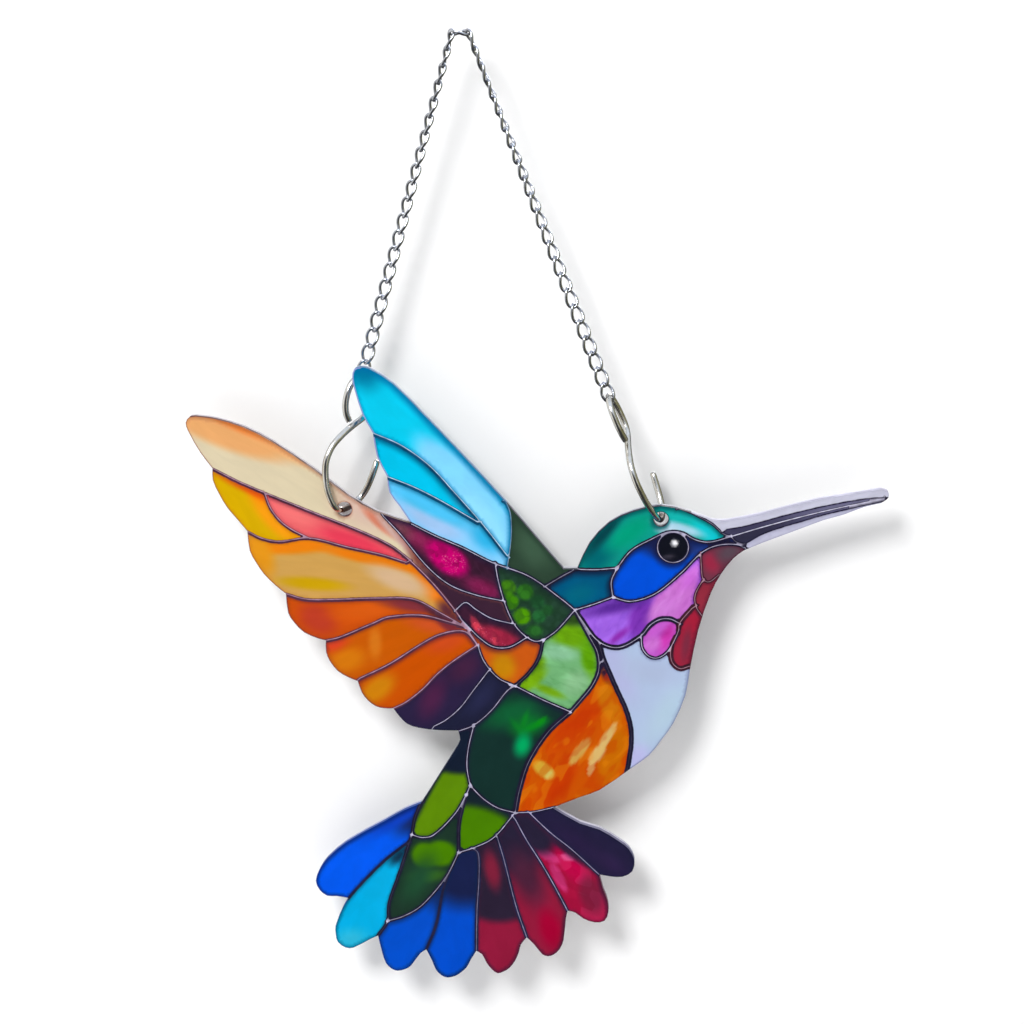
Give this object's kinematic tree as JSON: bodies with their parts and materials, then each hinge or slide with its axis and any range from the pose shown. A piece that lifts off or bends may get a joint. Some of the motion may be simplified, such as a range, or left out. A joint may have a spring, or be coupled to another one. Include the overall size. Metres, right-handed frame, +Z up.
{
  "type": "stained glass suncatcher",
  "caption": "Flat hummingbird of clear acrylic printed like leaded glass, hung by bent wire hooks from a curb chain that loops over a peg.",
  "frame": {"origin": "under the chain's top link, where a peg bears", "axes": "+Z up; the sheet stands in the XZ plane with its front towards -Y and the bird's beak towards +X"},
  "size_m": [0.175, 0.0158, 0.2424],
  "materials": {
    "panel": "clear acrylic with a printed picture in many colours, gloss",
    "hooks": "bright plated wire",
    "chain": "bright plated curb chain"
  },
  "bodies": {
    "root": {"bird_panel": "panel", "s_hook_left": "hooks", "s_hook_right": "hooks", "chain_link_01": "chain", "chain_link_02": "chain", "chain_link_03": "chain", "chain_link_04": "chain", "chain_link_05": "chain", "chain_link_06": "chain", "chain_link_07": "chain", "chain_link_08": "chain", "chain_link_09": "chain", "chain_link_10": "chain", "chain_link_11": "chain", "chain_link_12": "chain", "chain_link_13": "chain", "chain_link_14": "chain", "chain_link_15": "chain", "chain_link_16": "chain", "chain_link_17": "chain", "chain_link_18": "chain", "chain_link_19": "chain", "chain_link_20": "chain", "chain_link_21": "chain", "chain_link_22": "chain", "chain_link_23": "chain", "chain_link_24": "chain", "chain_link_25": "chain", "chain_link_26": "chain", "chain_link_27": "chain", "chain_link_28": "chain", "chain_link_29": "chain", "chain_link_30": "chain", "chain_link_31": "chain", "chain_link_32": "chain", "chain_link_33": "chain", "chain_link_34": "chain", "chain_link_35": "chain", "chain_link_36": "chain", "chain_link_37": "chain", "chain_link_38": "chain", "chain_link_39": "chain", "chain_link_40": "chain", "chain_link_41": "chain", "chain_link_42": "chain", "chain_link_43": "chain", "chain_link_44": "chain", "chain_link_45": "chain"}
  },
  "joints": []
}
